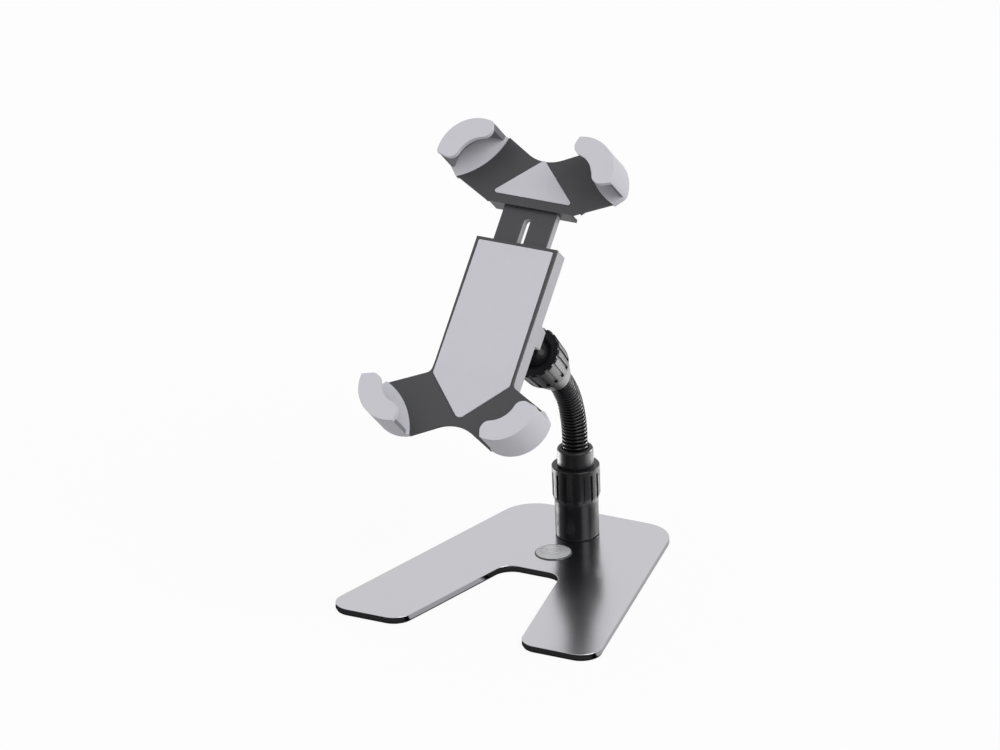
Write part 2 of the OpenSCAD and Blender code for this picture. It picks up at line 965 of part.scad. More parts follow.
// Outline of a claw at its floor, before the seam cuts it
module claw_outline() {
    corner_y = claw_side - claw_corner_r;
    corner_x = sqrt(pow(claw_r - claw_corner_r, 2) - corner_y * corner_y);
    corner_turn = atan2(corner_y, corner_x);
    difference() {
        intersection() {
            circle(claw_r, $fn = 128);
            translate([-claw_r, -claw_r - 1])
                square([2 * claw_r, claw_r + claw_side + 1]);
        }
        polygon([
            [corner_x, corner_y],
            [corner_x + 2 * claw_corner_r * cos(corner_turn), corner_y + 2 * claw_corner_r * sin(corner_turn)],
            [corner_x + claw_corner_r, corner_y + 3 * claw_corner_r],
            [corner_x, corner_y + 3 * claw_corner_r]
        ]);
    }
    translate([corner_x, corner_y])
        circle(claw_corner_r + arc_ease);
}

// Sector of the claw that its wall takes up, a little inside the lip's ends
module wall_sector() {
    reach = 2 * claw_r;
    up = wall_up - 0.3;
    down = wall_down - 0.3;
    polygon([
        [0, 0],
        [reach * cos(down), -reach * sin(down)],
        [reach, -reach * tan(down / 2)],
        [reach, reach * tan(up / 2)],
        [reach * cos(up), reach * sin(up)]
    ]);
}

function lip_corner(side) =
    let (turn = side > 0 ? wall_up : wall_down)
        [claw_r * cos(turn), side * claw_r * sin(turn)];
function lobe(side) = [lobe_x, lobe_shift + side * lobe_y];
function lobe_swing(side) =
    let (way = lip_corner(side) - lobe(side))
        atan2(way.y, way.x) + side * acos(lobe_r / norm(way));
function lobe_outer(side) =
    lobe(side) + lobe_r * [cos(lobe_swing(side)), sin(lobe_swing(side))];
function lip_far(side) = lip_corner(side) + 2 * unit(lip_corner(side) - lobe_outer(side));
function lobe_inner(side) =
    lobe(side) + lobe_r * unit([-scoop_x, lobe_shift] - lobe(side));

// Kidney shape of a claw's lip, seen from the front
module lip_outline() {
    intersection() {
        circle(claw_r, $fn = 128);
        difference() {
            polygon([
                lobe_inner(1), lobe(1), lobe_outer(1), lip_far(1),
                [2 * claw_r, lip_far(1).y], [2 * claw_r, lip_far(-1).y],
                lip_far(-1), lobe_outer(-1), lobe(-1), lobe_inner(-1)
            ]);
            translate([-scoop_x, lobe_shift])
                circle(scoop_r, $fn = 128);
        }
    }
    for (side = [-1, 1])
        translate(lobe(side))
            circle(lobe_r + arc_ease);
}

// Soft boot on an arm's end: sole, pocket for the tab, curved wall and lip
module claw_shape() {
    bottom = -face_t - sole_t;
    difference() {
        union() {
            translate([0, 0, bottom])
                linear_extrude(floor_rise - bottom)
                    intersection() {
                        claw_outline();
                        seam_circle();
                    }
            linear_extrude(claw_h - lip_t / 2)
                intersection() {
                    difference() {
                        claw_outline();
                        circle(claw_r - claw_wall, $fn = 128);
                    }
                    wall_sector();
                }
            translate([0, 0, claw_h - lip_t])
                linear_extrude(lip_t)
                    lip_outline();
        }
        difference() {
            translate([0, 0, -face_t - part_gap])
                linear_extrude(face_t + 2 * part_gap)
                    tab_outline(part_gap);
            translate([peg_x, 0, bottom])
                cylinder(r = peg_r, h = floor_rise - bottom);
        }
    }
}

module claw_lower(side) {
    color("#cfcfd4")
        at_holder()
            at_lower_claw(side)
                claw_shape();
}

module claw_upper(side) {
    color("#cfcfd4")
        at_holder()
            upside_down()
                at_lower_claw(side)
                    claw_shape();
}

// Holder: upper jaw

flange_w = 1.6;
jaw_box_w = tongue_w + 8;
jaw_box_z = tongue_back_z - 1.6;
jaw_box_in = jaw_box_w - 2 * cover_wall;

module upper_jaw() {
    boss_z = tongue_front - tongue_skin;
    color("#454548")
        at_holder()
            difference() {
                union() {
                    difference() {
                        union() {
                            translate([0, 0, -face_t])
                                linear_extrude(face_t) {
                                    upside_down()
                                        jaw_arms_plan();
                                    translate([-body_w / 2, jaw_open])
                                        square([body_w, jaw_body_len]);
                                }
                            upside_down()
                                arm_ribs();
                            translate([-body_w / 2, jaw_open, -jaw_flange_t])
                                cube([body_w, flange_w, jaw_flange_t - face_t / 2]);
                            translate([-jaw_box_w / 2, jaw_open, jaw_box_z])
                                cube([jaw_box_w, jaw_body_len, -face_t / 2 - jaw_box_z]);
                            translate([-tongue_w / 2, -tongue_in, boss_z])
                                cube([tongue_w, tongue_in + jaw_open + 1, tongue_skin]);
                        }
                        translate([-jaw_box_in / 2, jaw_open + flange_w, jaw_box_z - 1])
                            cube([
                                jaw_box_in, jaw_body_len - flange_w - cover_wall,
                                1 - face_t - jaw_box_z
                            ]);
                        translate([-tongue_w / 2 - part_gap, jaw_open - 1, tongue_back_z - part_gap])
                            cube([
                                tongue_w + 2 * part_gap, flange_w + 2,
                                tongue_t - tongue_skin + part_gap
                            ]);
                    }
                    for (side = [-1, 1])
                        translate([side * tongue_screw_x, tongue_screw_y, boss_z])
                            cylinder(r = boss_r, h = -face_t / 2 - boss_z);
                }
                for (side = [-1, 1])
                    translate([side * tongue_screw_x, tongue_screw_y, boss_z - 1])
                        cylinder(r = pilot_r, h = 0.5 - face_t / 2 - boss_z);
                slot_cut();
                translate([0, 0, pad_rise - pad_t - 0.02])
                    linear_extrude(pad_t)
                        triangle_outline(0.08);
            }
}

// Arms of the jaw, cut off where they meet its flange
module jaw_arms_plan() {
    intersection() {
        arms_plan();
        translate([-base_front_w, -base_front_w - body_len - 1])
            square([2 * base_front_w, base_front_w]);
    }
}

module slot_cut() {
    translate([0, 0, -body_t]) {
        for (y = [slot_bottom + slot_w / 2, slot_top - slot_w / 2])
            translate([0, y, 0])
                cylinder(d = slot_w, h = body_t - face_t);
        translate([-slot_w / 2, slot_bottom + slot_w / 2, 0])
            cube([slot_w, slot_top - slot_bottom - slot_w, body_t - face_t]);
    }
}

module triangle_outline(grow) {
    rounded_outline(
        [
            [triangle_half_w + grow * 2, jaw_open + triangle_low - grow],
            [0, jaw_open + triangle_high + grow],
            [-triangle_half_w - grow * 2, jaw_open + triangle_low - grow]
        ],
        [triangle_corner_r, triangle_corner_r, triangle_corner_r]
    );
}

module triangle_pad() {
    color("#c4c3c9")
        at_holder()
            translate([0, 0, pad_rise - pad_t])
                linear_extrude(pad_t)
                    triangle_outline(0);
}

// Light backing of the tongue, carried into the jaw's back body
module tongue_back() {
    color("#c9c9ce")
        at_holder()
            difference() {
                translate([-tongue_w / 2, -tongue_in, tongue_back_z])
                    cube([tongue_w, tongue_in + jaw_open + tongue_up, tongue_t - tongue_skin]);
                slot_cut();
                for (side = [-1, 1]) {
                    translate([side * tongue_screw_x, tongue_screw_y, tongue_back_z - 1])
                        cylinder(r = pilot_r, h = body_t);
                    translate([side * tongue_screw_x, tongue_screw_y, tongue_back_z - 1])
                        cylinder(r = screw_head_r + part_gap, h = 1 + screw_head_t);
                    translate([side * jaw_screw_x, jaw_screw_y, tongue_back_z - 1])
                        cylinder(r = pilot_r, h = body_t);
                }
            }
}

jaw_cover_t = 1.2;
jaw_screw_x = tongue_w / 2 - 7;
jaw_screw_y = jaw_open + jaw_body_len - 7;
tongue_up = jaw_body_len - 4;
tongue_screw_x = tongue_w / 2 - 5;
tongue_screw_y = jaw_open + 5;

// They hold the tongue's backing to the back of the jaw's face
module tongue_screws() {
    color("#3a3a3d")
        at_holder()
            for (side = [-1, 1])
                translate([side * tongue_screw_x, tongue_screw_y, tongue_back_z])
                    small_screw(tongue_t + 1.2);
}

module jaw_back_cover() {
    gap = part_gap;
    color("#454548")
        at_holder()
            difference() {
                translate([gap - jaw_box_in / 2, jaw_open + flange_w + gap, jaw_box_z])
                    cube([
                        jaw_box_in - 2 * gap,
                        jaw_body_len - flange_w - cover_wall - 2 * gap,
                        jaw_cover_t
                    ]);
                for (side = [-1, 1])
                    translate([side * jaw_screw_x, jaw_screw_y, jaw_box_z - 1])
                        cylinder(r = pilot_r, h = 4);
            }
}

// They hold the back cover to the tongue's backing
module jaw_cover_screws() {
    color("#3a3a3d")
        at_holder()
            for (side = [-1, 1])
                translate([side * jaw_screw_x, jaw_screw_y, jaw_box_z - screw_head_t + part_gap])
                    small_screw(screw_head_t - part_gap + tongue_back_z - jaw_box_z + 3);
}

anti_slip_sheet();
base_plate();
domed_cap();
foot_washer();
post();
post_screw();
compression_ring();
collar_nut();
neck_ferrule();
neck_section_first();  // neck_section_1
neck_section_middle(1);  // neck_section_2
neck_section_middle(2);  // neck_section_3
neck_section_middle(3);  // neck_section_4
neck_section_middle(4);  // neck_section_5
neck_section_middle(5);  // neck_section_6
neck_section_middle(6);  // neck_section_7
neck_section_last();  // neck_section_8
ball_socket();
friction_cup();
ball_nut();
ball_stud();
stem();
stem_screws();
rear_cover();
cover_screws();
face_plate();
front_pad();
guide_screw();
spring_washer();
claw_lower(-1);  // claw_lower_left
claw_lower(1);  // claw_lower_right
upper_jaw();
tongue_back();
tongue_screws();
jaw_back_cover();
jaw_cover_screws();
triangle_pad();
claw_upper(-1);  // claw_upper_left
claw_upper(1);  // claw_upper_right
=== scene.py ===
"""Desktop phone stand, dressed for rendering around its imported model.

Each operator makes one group of the stand's pieces. Sizes are in metres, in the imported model's
frame: +Z up along the post, -Y towards the phone's user, +X to the user's right.
"""

import json
import math

import bpy
from mathutils import Matrix, Vector

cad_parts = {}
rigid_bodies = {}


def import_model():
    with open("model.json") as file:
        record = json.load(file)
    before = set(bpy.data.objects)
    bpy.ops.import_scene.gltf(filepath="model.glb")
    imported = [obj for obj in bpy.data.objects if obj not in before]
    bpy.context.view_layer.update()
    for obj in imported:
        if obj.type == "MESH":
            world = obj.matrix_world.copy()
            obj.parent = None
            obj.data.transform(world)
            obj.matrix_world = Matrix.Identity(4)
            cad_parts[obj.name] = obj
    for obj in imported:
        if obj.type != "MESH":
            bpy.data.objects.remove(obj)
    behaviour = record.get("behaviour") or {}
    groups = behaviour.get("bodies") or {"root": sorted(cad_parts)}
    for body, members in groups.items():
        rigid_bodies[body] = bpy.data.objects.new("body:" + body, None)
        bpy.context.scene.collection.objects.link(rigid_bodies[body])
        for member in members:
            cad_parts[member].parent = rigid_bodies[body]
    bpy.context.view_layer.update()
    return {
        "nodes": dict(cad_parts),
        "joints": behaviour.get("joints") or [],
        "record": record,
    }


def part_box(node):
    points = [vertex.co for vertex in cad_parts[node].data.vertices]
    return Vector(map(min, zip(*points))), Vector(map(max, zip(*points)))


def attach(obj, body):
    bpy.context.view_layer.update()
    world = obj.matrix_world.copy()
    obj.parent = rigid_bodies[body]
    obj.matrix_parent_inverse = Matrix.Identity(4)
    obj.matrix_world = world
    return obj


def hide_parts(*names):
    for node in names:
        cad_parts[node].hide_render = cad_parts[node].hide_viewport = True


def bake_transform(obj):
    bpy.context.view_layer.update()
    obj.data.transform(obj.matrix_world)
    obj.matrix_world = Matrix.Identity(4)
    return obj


bl_info = {
    "name": "Desktop phone stand",
    "version": (1, 0, 0),
    "blender": (4, 5, 0),
    "location": "3D View > Sidebar > Phone stand",
    "description": "Builds a phone stand with a notched base, a ribbed neck and a sliding holder",
    "category": "Object",
}

bpy.ops.object.select_all(action="SELECT")
bpy.ops.object.delete()
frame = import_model()

MM = 0.001
NECK_SECTIONS = 8
MERGE_WITHIN = 0.002 * MM
FLAT_WITHIN = math.radians(0.6)
SHARP_FROM = 32
RECORDED = {m["slot"]: m["base_color"][:3] for m in frame["record"]["materials"]}
BODY_OF = {n: b for b, nodes in frame["record"]["behaviour"]["bodies"].items() for n in nodes}
GLOSSY_BLACK = ("post", "collar_nut", "neck_", "ball_")
RIBBED_BLACK = "neck_section"
WASHER_BLACK = (0.01, 0.01, 0.011)
# Near-black of the neck's grooves: painted shade between the ribs
GROOVE_PAINTED_SHADE = (0.002, 0.002, 0.002)
SCREW_STEEL = (0.08, 0.08, 0.085)
ZINC = (0.12, 0.12, 0.125)
RING_WHITE = (0.5, 0.5, 0.49)
CUP_WHITE = (0.6, 0.6, 0.57)
CAP_CLEAR = (0.93, 0.93, 0.95)
FLOOR_WHITE = (0.6, 0.6, 0.6)
JOINT_AT = {j["name"]: Vector(j["pos_m"]) for j in frame["joints"] if "pos_m" in j}


# Shader maths


class Wire:
    """A value on a node tree that Python operators can work on."""

    def __init__(self, sheet, socket):
        self.sheet = sheet
        self.socket = socket

    def _math(self, operation, *values):
        return self.sheet.node("ShaderNodeMath", {"operation": operation}, dict(enumerate(values)))

    def __add__(self, other):
        return self._math("ADD", self, other)

    def __radd__(self, other):
        return self._math("ADD", other, self)

    def __sub__(self, other):
        return self._math("SUBTRACT", self, other)

    def __rsub__(self, other):
        return self._math("SUBTRACT", other, self)

    def __mul__(self, other):
        return self._math("MULTIPLY", self, other)

    def __rmul__(self, other):
        return self._math("MULTIPLY", other, self)

    def __truediv__(self, other):
        return self._math("DIVIDE", self, other)

    def above(self, edge, width):
        """0 below the edge, 1 above edge + width, smooth between."""
        return self.sheet.node(
            "ShaderNodeMapRange",
            {"interpolation_type": "SMOOTHSTEP"},
            {"Value": self, "From Min": edge, "From Max": edge + width},
        )


class Sheet:
    """An emptied node tree, which a material or the world owns."""

    def __init__(self, owner, output):
        owner.use_nodes = True
        self.tree = owner.node_tree
        self.tree.nodes.clear()
        self.output = self.tree.nodes.new(output)

    def show(self, shader):
        self.tree.links.new(shader.socket, self.output.inputs["Surface"])

    def rays(self, *names):
        """What the light path says of a ray, as one Wire for each name."""
        made = self.tree.nodes.new("ShaderNodeLightPath")
        return [Wire(self, made.outputs[name]) for name in names]

    def node(self, kind, settings=None, values=None, output=0):
        """Adds a node, sets it, feeds its inputs and returns one of its outputs."""
        made = self.tree.nodes.new(kind)
        for name, value in (settings or {}).items():
            setattr(made, name, value)
        for name, value in (values or {}).items():
            socket = made.inputs[name]
            if isinstance(value, Wire):
                self.tree.links.new(value.socket, socket)
            else:
                socket.default_value = value
        return Wire(self, made.outputs[output])


class Finish(Sheet):
    """A procedural material, built on a Principled shader."""

    def __init__(self, name, colour, roughness, metallic=0.0):
        self.material = bpy.data.materials.new(name)
        super().__init__(self.material, "ShaderNodeOutputMaterial")
        self.shader = self.tree.nodes.new("ShaderNodeBsdfPrincipled")
        self.show(Wire(self, self.shader.outputs["BSDF"]))
        self.colour = tuple(colour)
        self.set("Base Color", (*self.colour, 1))
        self.set("Roughness", roughness)
        self.set("Metallic", metallic)

    def set(self, socket, value):
        if isinstance(value, Wire):
            self.tree.links.new(value.socket, self.shader.inputs[socket])
        else:
            self.shader.inputs[socket].default_value = value

    def place(self, stretch=(1, 1, 1)):
        """Object coordinates in metres, stretched along each axis."""
        at = self.node("ShaderNodeTexCoord", output="Object")
        return self.node("ShaderNodeMapping", {}, {"Vector": at, "Scale": stretch})

    def noise(self, size, detail=2.0, stretch=(1, 1, 1)):
        """Noise whose patches are about size metres across, from 0 to 1."""
        values = {"Vector": self.place(stretch), "Scale": 1 / size, "Detail": detail}
        return self.node("ShaderNodeTexNoise", {}, values)

    def tinted(self, factor, low, high):
        """The finish's colour, times low where factor is 0 and times high where it is 1."""
        dark, bright = ((*(min(1.0, c * k) for c in self.colour), 1) for k in (low, high))
        values = {0: factor, 6: dark, 7: bright}
        return self.node("ShaderNodeMix", {"data_type": "RGBA"}, values, output=2)

    def bump(self, height, strength, depth):
        values = {"Height": height, "Strength": strength, "Distance": depth}
        self.set("Normal", self.node("ShaderNodeBump", {}, values))

    def paint(self, piece, further=False):
        """Puts the finish on a piece, in place of what it has or in a further material slot."""
        if not further:
            piece.data.materials.clear()
        piece.data.materials.append(self.material)


def moulded_plastic(
    name, colour, roughness, grain=0.16 * MM, depth=0.02 * MM, specular=0.4, strength=0.35
):
    """Spark-eroded plastic: fine grain, and roughness that drifts over a few centimetres."""
    finish = Finish(name, colour, roughness)
    fine = finish.noise(grain, detail=1.0)
    broad = finish.noise(14 * MM, detail=2.0)
    finish.set("Roughness", roughness - 0.04 + 0.08 * broad + 0.06 * (fine - 0.5))
    finish.set("Base Color", finish.tinted(0.65 * broad + 0.35 * fine, 0.95, 1.05))
    finish.set("Specular IOR Level", specular)
    finish.bump(fine, strength, depth)
    return finish


def shell_plastics(colours, dark_name, light_name):
    """The dark and the light plastic of the holder's and the jaw's shells."""
    dark = moulded_plastic(dark_name, colours.dark, 0.42, grain=0.25 * MM)
    light = moulded_plastic(light_name, colours.light, 0.45, grain=0.3 * MM, depth=0.03 * MM)
    return dark, light


def polished_black(name, colour, roughness, specular):
    """Black plastic off a polished mould: dark from the front, bright where light grazes it."""
    finish = moulded_plastic(name, colour, roughness, specular=specular, strength=0.06)
    sheen = finish.noise(6 * MM, detail=2.0)
    finish.set("Coat Weight", 0.02 + 0.12 * sheen)
    finish.set("Coat Roughness", 0.15)
    return finish


def soft_rubber(name, colour, roughness):
    """Matt soft plastic with a powdery grain and faint handling marks."""
    finish = Finish(name, colour, roughness)
    powder = finish.noise(0.22 * MM, detail=2.0)
    marks = finish.noise(9 * MM, detail=3.0)
    finish.set("Base Color", finish.tinted(0.5 * powder + 0.5 * marks, 0.96, 1.04))
    finish.set("Roughness", roughness + 0.1 * (marks - 0.5))
    finish.set("Specular IOR Level", 0.35)
    finish.bump(powder, 0.3, 0.03 * MM)
    return finish


def satin_silver(name, colour, roughness):
    """Metallic lacquer on the plate: flakes too fine to see one by one, slight orange peel."""
    finish = Finish(name, colour, roughness, metallic=1.0)
    flakes = finish.noise(0.12 * MM, detail=1.0)
    drift = finish.noise(30 * MM, detail=2.0)
    peel = finish.noise(1.1 * MM, detail=1.0)
    finish.set("Base Color", finish.tinted(0.7 * flakes + 0.3 * drift, 0.96, 1.04))
    finish.set("Roughness", roughness - 0.03 + 0.05 * drift + 0.04 * (flakes - 0.5))
    finish.bump(peel, 0.05, 0.02 * MM)
    return finish


def black_lacquer(name, colour, roughness, specular):
    """Glossy black, with faint orange peel and finger-dulled patches."""
    finish = Finish(name, colour, roughness)
    peel = finish.noise(0.9 * MM, detail=1.0)
    dulled = finish.noise(11 * MM, detail=3.0).above(0.45, 0.3)
    finish.set("Roughness", roughness + 0.07 * dulled)
    finish.set("Base Color", finish.tinted(dulled, 0.9, 1.25))
    finish.set("Specular IOR Level", specular)
    finish.bump(peel, 0.05, 0.015 * MM)
    return finish


def turned_steel(name, colour, roughness):
    """Steel with turning marks round its axis."""
    finish = Finish(name, colour, roughness, metallic=1.0)
    marks = finish.noise(0.15 * MM, detail=2.0, stretch=(0.08, 0.08, 1))
    finish.set("Roughness", roughness + 0.12 * (marks - 0.5))
    finish.set("Base Color", finish.tinted(marks, 0.88, 1.1))
    finish.bump(marks, 0.12, 0.01 * MM)
    return finish


def closed_foam(name, colour):
    """Closed-cell foam sheet: pin-point cells, no sheen."""
    finish = Finish(name, colour, 0.85)
    cell_size = 0.5 * MM
    values = {"Vector": finish.place(), "Scale": 1 / cell_size}
    cells = finish.node("ShaderNodeTexVoronoi", {"feature": "F1"}, values)
    finish.set("Base Color", finish.tinted(cells, 0.7, 1.3))
    finish.set("Roughness", 0.78 + 0.15 * cells)
    finish.bump(cells, 0.4, 0.05 * MM)
    return finish


def clear_cap(name, colour, centre, radius):
    """Clear soft plastic, a little cloudy, with its outer rim painted dark and less clear: painted
    shade at the dome's edge.
    """
    finish = Finish(name, colour, 0.08)
    cloud = finish.noise(3 * MM, detail=2.0)
    at = finish.node("ShaderNodeTexCoord", output="Object")
    away = finish.node("ShaderNodeVectorMath", {"operation": "SUBTRACT"}, {0: at, 1: tuple(centre)})
    flat = finish.node("ShaderNodeVectorMath", {"operation": "MULTIPLY"}, {0: away, 1: (1, 1, 0)})
    out = finish.node("ShaderNodeVectorMath", {"operation": "LENGTH"}, {0: flat}, output="Value")
    # Painted shade: the outer rim is darkened, made more opaque and left without coat
    painted_rim_shade = (out / radius).above(0.9, 0.04)
    finish.set("Base Color", finish.tinted(painted_rim_shade, 1.0, 0.03))
    finish.set("Alpha", 0.4 + 0.1 * cloud + 0.5 * painted_rim_shade)
    finish.set("Roughness", 0.06 + 0.06 * cloud)
    finish.set("Specular IOR Level", 0.6)
    finish.set("Coat Weight", 1 - painted_rim_shade)
    finish.set("Coat Roughness", 0.04)
    finish.bump(cloud, 0.1, 0.05 * MM)
    return finish


# Modelling helpers


def deselect():
    if bpy.context.object and bpy.context.object.mode != "OBJECT":
        bpy.ops.object.mode_set(mode="OBJECT")
    bpy.ops.object.select_all(action="DESELECT")


def pick(piece):
    deselect()
    piece.select_set(True)
    bpy.context.view_layer.objects.active = piece


def apply_modifier(piece, kind, **settings):
    pick(piece)
    modifier = piece.modifiers.new(kind.title(), kind)
    for name, value in settings.items():
        setattr(modifier, name, value)
    bpy.ops.object.modifier_apply(modifier=modifier.name)


def smooth(piece, angle=SHARP_FROM):
    """Smooth shading up to an angle, with flat faces kept flat."""
    pick(piece)
    bpy.ops.object.shade_smooth_by_angle(angle=math.radians(angle))
    apply_modifier(piece, "WEIGHTED_NORMAL", keep_sharp=True)


def settle(piece, body):
    """Applies a piece's place to its mesh and says what it rides on."""
    pick(piece)
    bpy.ops.object.transform_apply(location=True, rotation=True, scale=True)
    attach(piece, body)
    return piece


def dressed(node, finish, rounding, segments=2):
    """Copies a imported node, merges its loose triangles and rounds its edges.

    The copy then stands for the node.
    """
    mesh = frame["nodes"][node].data.copy()
    piece = bpy.data.objects.new(node + "_rounded", mesh)
    bpy.context.scene.collection.objects.link(piece)
    mesh.materials.clear()
    pick(piece)
    bpy.ops.object.mode_set(mode="EDIT")
    bpy.ops.mesh.select_all(action="SELECT")
    bpy.ops.mesh.remove_doubles(threshold=MERGE_WITHIN)
    bpy.ops.mesh.customdata_custom_splitnormals_clear()
    bpy.ops.mesh.dissolve_limited(angle_limit=FLAT_WITHIN)
    bpy.ops.object.mode_set(mode="OBJECT")
    if rounding:
        apply_modifier(
            piece,
            "BEVEL",
            width=rounding,
            segments=segments,
            limit_method="ANGLE",
            angle_limit=math.radians(SHARP_FROM),
            use_clamp_overlap=True,
        )
    smooth(piece)
    finish.paint(piece)
    settle(piece, BODY_OF[node])
    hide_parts(node)
    return piece


def select_faces(piece, wanted):
    """Selects a piece's faces by a test on their centre and normal, and leaves it in edit mode."""
    pick(piece)
    bpy.ops.object.mode_set(mode="EDIT")
    bpy.ops.mesh.select_all(action="DESELECT")
    bpy.ops.object.mode_set(mode="OBJECT")
    for face in piece.data.polygons:
        face.select = wanted(face.center, face.normal)
    bpy.ops.object.mode_set(mode="EDIT")
    bpy.ops.mesh.select_mode(type="FACE")


def second_finish(piece, finish, wanted):
    """Gives the faces that pass the test a finish of their own."""
    finish.paint(piece, further=True)
    select_faces(piece, wanted)
    piece.active_material_index = 1
    bpy.ops.object.material_slot_assign()
    bpy.ops.object.mode_set(mode="OBJECT")


def keep(node, finish):
    """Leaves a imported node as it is, with a better finish."""
    piece = frame["nodes"][node]
    finish.paint(piece)


# Settings


def length_property(name, description, default):
    return bpy.props.FloatProperty(
        name=name, description=description, default=default, unit="LENGTH"
    )


class StandSizes(bpy.types.PropertyGroup):
    """Edge roundings and small forms of the stand"""

    plate_edge: length_property("Plate edge", "Rounding of the base plate's edges", 0.28 * MM)
    sheet_edge: length_property("Sheet edge", "Rounding of the foot sheet's edges", 0.15 * MM)
    post_edge: length_property("Post edge", "Rounding of the post's edges", 0.35 * MM)
    nut_edge: length_property("Nut edge", "Rounding of the nuts' ridges", 0.25 * MM)
    ferrule_edge: length_property("Ferrule edge", "Rounding of the ferrule's edges", 0.5 * MM)
    rib_edge: length_property("Rib edge", "Rounding of the neck's ribs", 0.1 * MM)
    # Neck faces inside this radius get the painted shade of the grooves
    groove_radius: length_property(
        "Groove radius", "Neck faces nearer to its axis are the dull grooves", 6.55 * MM
    )
    sleeve_radius: length_property(
        "Sleeve radius", "Radius of the bending sleeve between the ribs", 5.52 * MM
    )
    socket_edge: length_property("Socket edge", "Rounding of the socket's edges", 0.2 * MM)
    shell_edge: length_property("Shell edge", "Rounding of the dark shells' edges", 0.22 * MM)
    cover_edge: length_property("Cover edge", "Rounding of the light cover's edges", 0.5 * MM)
    tongue_edge: length_property("Tongue edge", "Rounding of the tongue's backing", 0.2 * MM)
    jaw_cover_edge: length_property("Jaw cover edge", "Rounding of the jaw's cover", 0.25 * MM)
    pad_edge: length_property("Pad edge", "Rounding of the pads' edges", 0.2 * MM)
    claw_edge: length_property("Claw edge", "Rounding of the soft claws' edges", 0.55 * MM)
    # Below this depth a claw's inner wall gets painted shade
    lip_depth: length_property("Lip depth", "Under it a claw's inner wall is dull", 2.2 * MM)


def colour_property(name, colour, description):
    return bpy.props.FloatVectorProperty(
        name=name, description=description, subtype="COLOR", size=3, min=0, max=1, default=colour
    )


class StandColours(bpy.types.PropertyGroup):
    """Colours of the stand's finishes"""

    base: colour_property("Base", RECORDED["base_silver"], "Lacquer on the plate's top")
    dark: colour_property("Dark shells", RECORDED["holder_dark"], "Face plate and upper jaw")
    light: colour_property("Light shells", RECORDED["holder_light"], "Cover, stem and tongue's back")
    pad: colour_property("Pads", RECORDED["pad_light"], "Pads that the phone lies on")
    claw: colour_property("Claws", RECORDED["claw_soft"], "Soft claws at the corners")
    black: colour_property("Black plastic", RECORDED["nut_black"], "Nuts, socket, stud and ferrule")
    post: colour_property("Post", RECORDED["post_black"], "Lacquered post")
    neck: colour_property("Neck", RECORDED["neck_black"], "Ribbed neck")
    sheet: colour_property("Foot sheet", RECORDED["sheet_dark"], "Anti-slip sheet")
    cap: colour_property("Cap", CAP_CLEAR, "Clear domed cap on the plate")


def angle_property(name, description, degrees):
    return bpy.props.FloatProperty(
        name=name, description=description, default=math.radians(degrees), subtype="ANGLE"
    )


def number_property(name, description, default):
    return bpy.props.FloatProperty(name=name, description=description, default=default)


class StudioSettings(bpy.types.PropertyGroup):
    """Camera and lamps"""

    azimuth: angle_property("Azimuth", "Camera's turn round the stand", 28.48)
    elevation: angle_property("Elevation", "Camera's height angle", 24.01)
    roll: angle_property("Roll", "Camera's turn about its own axis", -1.81)
    distance: length_property("Distance", "From the camera to the stand", 6.287)
    lens: number_property("Lens", "Focal length in millimetres", 431.4)
    key_light: number_property("Key light", "Lamp at the right", 2.0)
    top_light: number_property("Top light", "Lamp above and behind", 0.5)
    rim_light: number_property("Rim light", "Reflectors and strips behind the stand", 20.0)
    sky_light: number_property("Sky light", "Light from all round", 0.5)


# Operators


class PHONESTAND_OT_base(bpy.types.Operator):
    """Base plate, its foot sheet, the clear cap and the washer under the post"""

    bl_idname = "phonestand.base"
    bl_label = "Base"

    def execute(self, context):
        sizes, colours = context.scene.stand_sizes, context.scene.stand_colours
        silver = satin_silver("plate_silver", colours.base, 0.2)
        dressed("base_plate", silver, sizes.plate_edge, segments=3)
        dressed("anti_slip_sheet", closed_foam("foot_foam", colours.sheet), sizes.sheet_edge)
        keep("foot_washer", moulded_plastic("washer_black", WASHER_BLACK, 0.5))
        self.cap(colours.cap)
        return {"FINISHED"}

    def cap(self, colour):
        """Domed from a ring that is drawn in and up, step by step, with two grooves round its top.

        A step is the share of the radius that it ends at and the share of the rise that it dips by.
        """
        low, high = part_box("domed_cap")
        centre, radius, rise = (low + high) / 2, (high.x - low.x) / 2, high.z - low.z
        at = Vector((centre.x, centre.y, low.z))
        deselect()
        bpy.ops.mesh.primitive_circle_add(vertices=96, radius=radius, fill_type="NGON", location=at)
        cap = bpy.context.object
        cap.name = "cap_dome"
        bpy.ops.object.mode_set(mode="EDIT")
        bpy.ops.mesh.select_all(action="SELECT")
        groove_steps = ((0, 0), (0.02, 0.16), (0.06, 0.16), (0.08, 0), (0.14, 0), (0.21, 0))
        steps = [(math.sin(math.radians(turn)), 0) for turn in (83, 76, 69, 62, 55, 49)]
        for groove in (0.7, 0.42):
            steps += [(groove - inwards, dip) for inwards, dip in groove_steps]
        steps += [(0.1, 0)]
        before, height = 1.0, 0.0
        for after, dip in steps:
            lift = rise * (math.sqrt(1 - after * after) - dip) - height
            bpy.ops.mesh.extrude_region_move(TRANSFORM_OT_translate={"value": (0, 0, lift)})
            shrink = after / before
            bpy.ops.transform.resize(value=(shrink, shrink, 1), center_override=at)
            before, height = after, height + lift
        bpy.ops.mesh.select_all(action="SELECT")
        bpy.ops.mesh.normals_make_consistent(inside=False)
        bpy.ops.object.mode_set(mode="OBJECT")
        smooth(cap, angle=50)
        clear_cap("cap_clear", colour, at, radius).paint(cap)
        settle(cap, BODY_OF["domed_cap"])
        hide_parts("domed_cap")


